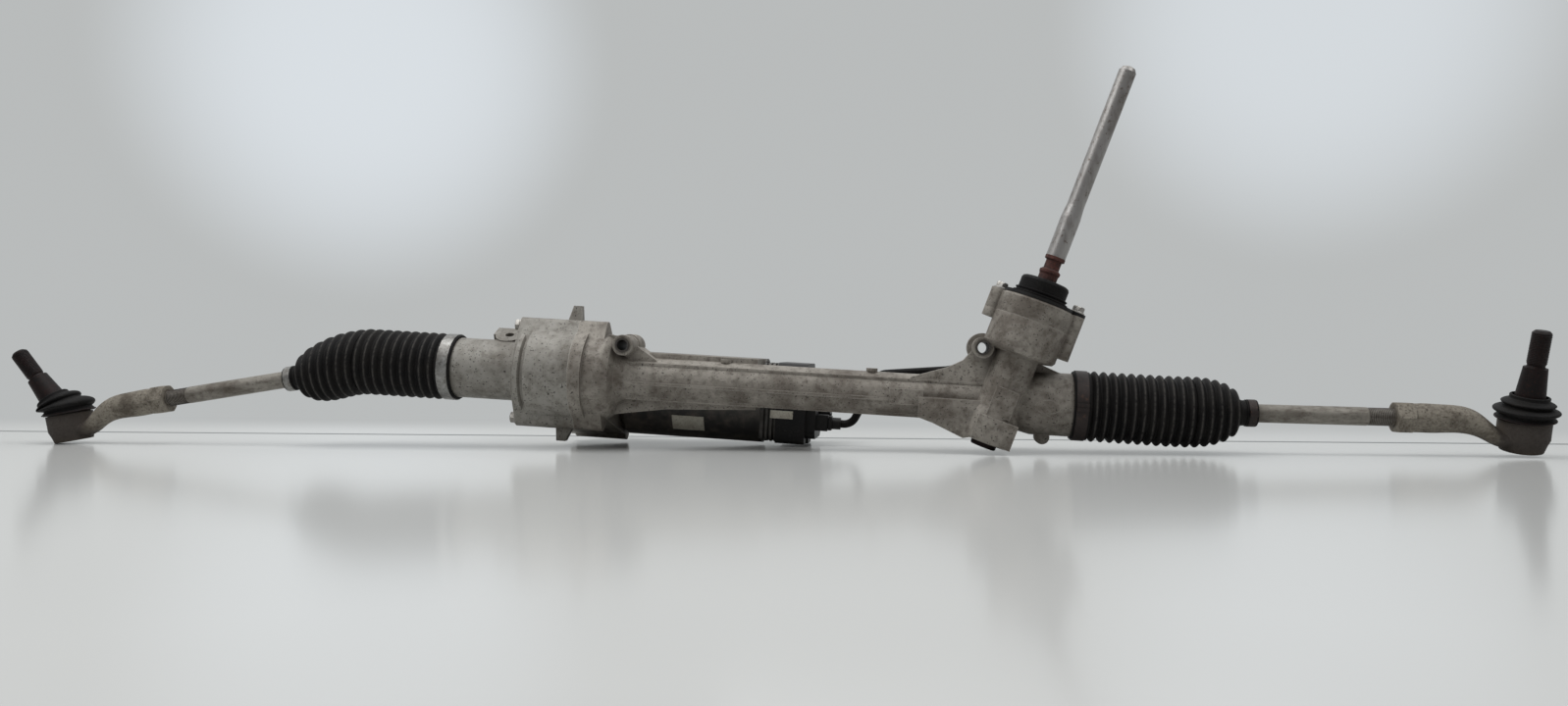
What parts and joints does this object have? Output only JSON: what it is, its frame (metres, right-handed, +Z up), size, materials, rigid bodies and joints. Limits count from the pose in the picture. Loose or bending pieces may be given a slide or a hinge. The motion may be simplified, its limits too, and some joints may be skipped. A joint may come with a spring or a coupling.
{
  "type": "steering rack",
  "caption": "Belt-assisted rack-and-pinion steering gear with parallel motor, control unit, tall input shaft, bellows and ball-jointed tie rods.",
  "frame": {"origin": "on the floor the gear lies on, below the middle of its length and depth", "axes": "+X along the gear towards the pinion, level; -Y towards the pinion and input shaft side; +Z up, as the gear lies on a flat floor with its rack 3.35 degrees out of level"},
  "size_m": [1.5243, 0.1859, 0.3628],
  "materials": {
    "cast_aluminium": "weathered die casting",
    "forged_steel": "dull grey forging",
    "bright_steel": "machined steel",
    "rusty_steel": "surface rust",
    "dark_steel": "black oxide steel",
    "black_paint": "satin black",
    "rubber": "moulded rubber",
    "black_plastic": "glass-filled nylon",
    "machined_aluminium": "milled",
    "bronze": "sintered bush",
    "copper_winding": "enamelled winding"
  },
  "bodies": {
    "housing": {"belt_cover": "cast_aluminium", "cable_plug": "black_plastic", "control_cover": "black_plastic", "cover_bolts": "bright_steel", "drive_belt": "rubber", "dust_cap": "rubber", "gear_housing": "cast_aluminium", "heat_sink": "machined_aluminium", "input_bearing": "bright_steel", "left_bellows": "rubber", "left_large_clamp": "bright_steel", "left_rack_bushing": "bronze", "motor_bolts": "bright_steel", "motor_case": "black_paint", "motor_stator": "copper_winding", "mount_sleeves": "bright_steel", "nut_bearing": "bright_steel", "pinion_bearing": "bright_steel", "pinion_plug": "dark_steel", "rack_yoke": "bright_steel", "right_bellows": "rubber", "right_large_clamp": "dark_steel", "right_rack_bushing": "bronze", "sensor_cable": "rubber", "sensor_cover": "black_plastic", "sensor_housing": "cast_aluminium", "sensor_plug": "black_plastic", "sensor_screws": "bright_steel", "sensor_stator": "copper_winding", "upper_bearing": "bright_steel", "yoke_plug": "bright_steel", "yoke_spring": "bright_steel"},
    "rack": {"rack_bar": "bright_steel", "left_inner_socket": "forged_steel", "right_inner_socket": "forged_steel"},
    "pinion": {"pinion_shaft": "bright_steel", "sensor_rotor": "bright_steel", "input_shaft": "rusty_steel", "column_shaft": "bright_steel"},
    "nut": {"ball_nut": "bright_steel", "driven_pulley": "bright_steel"},
    "rotor": {"motor_rotor": "bright_steel", "drive_pulley": "bright_steel"},
    "left_tie_rod": {"left_tie_rod": "forged_steel", "left_lock_nut": "forged_steel", "left_rod_end": "forged_steel", "left_end_plug": "dark_steel", "left_dust_boot": "rubber", "left_boot_ring": "dark_steel", "left_small_clamp": "bright_steel"},
    "left_stud": {"left_ball_stud": "dark_steel"},
    "right_tie_rod": {"right_tie_rod": "forged_steel", "right_lock_nut": "forged_steel", "right_rod_end": "forged_steel", "right_end_plug": "dark_steel", "right_dust_boot": "rubber", "right_boot_ring": "dark_steel", "right_small_clamp": "dark_steel"},
    "right_stud": {"right_ball_stud": "dark_steel"}
  },
  "joints": [
    {"name": "steering_input", "type": "hinge", "parent": "housing", "child": "pinion", "pos_m": [0.2616, -0.05789, 0.0491], "axis": [0.3559, 0, 0.9345], "range_deg": [-537.15, 537.15]},
    {"name": "rack_slide", "type": "slide", "parent": "housing", "child": "rack", "axis": [0.9983, 0, -0.0584], "range_m": [-0.075, 0.075], "deforming": ["left_bellows", "right_bellows"]},
    {"name": "nut_spin", "type": "hinge", "parent": "housing", "child": "nut", "pos_m": [-0.2081, -0.04, 0.07659], "axis": [0.9983, 0, -0.0584], "range_deg": [-3857.15, 3857.15]},
    {"name": "rotor_spin", "type": "hinge", "parent": "housing", "child": "rotor", "pos_m": [-0.12027, 0.038, 0.05392], "axis": [0.9983, 0, -0.0584], "range_deg": [-10800.01, 10800.01]},
    {"name": "left_inner_ball", "type": "hinge", "parent": "rack", "child": "left_tie_rod", "pos_m": [-0.34985, -0.04, 0.08489], "axis": [0, 1, 0], "range_deg": [-9.82, 34.18], "deforming": ["left_bellows"]},
    {"name": "left_outer_ball", "type": "hinge", "parent": "left_tie_rod", "child": "left_stud", "pos_m": [-0.70125, -0.03937, 0.02122], "axis": [0.0107, -0.9976, -0.0689], "range_deg": [-56.5, 0.5], "deforming": ["left_dust_boot"]},
    {"name": "right_inner_ball", "type": "hinge", "parent": "rack", "child": "right_tie_rod", "pos_m": [0.40485, -0.04, 0.04071], "axis": [0, -1, 0], "range_deg": [-24, 20], "deforming": ["right_bellows"]},
    {"name": "right_outer_ball", "type": "hinge", "parent": "right_tie_rod", "child": "right_stud", "pos_m": [0.73455, -0.03813, 0.02414], "axis": [0.0049, 0.9781, 0.2079], "range_deg": [-31.5, 25.5], "deforming": ["right_dust_boot"]}
  ],
  "couplings": [
    {"joint": "rack_slide", "follows": "steering_input", "m_per_rad": -0.008},
    {"joint": "nut_spin", "follows": "steering_input", "ratio": -7.1808},
    {"joint": "rotor_spin", "follows": "steering_input", "ratio": -20.106}
  ]
}
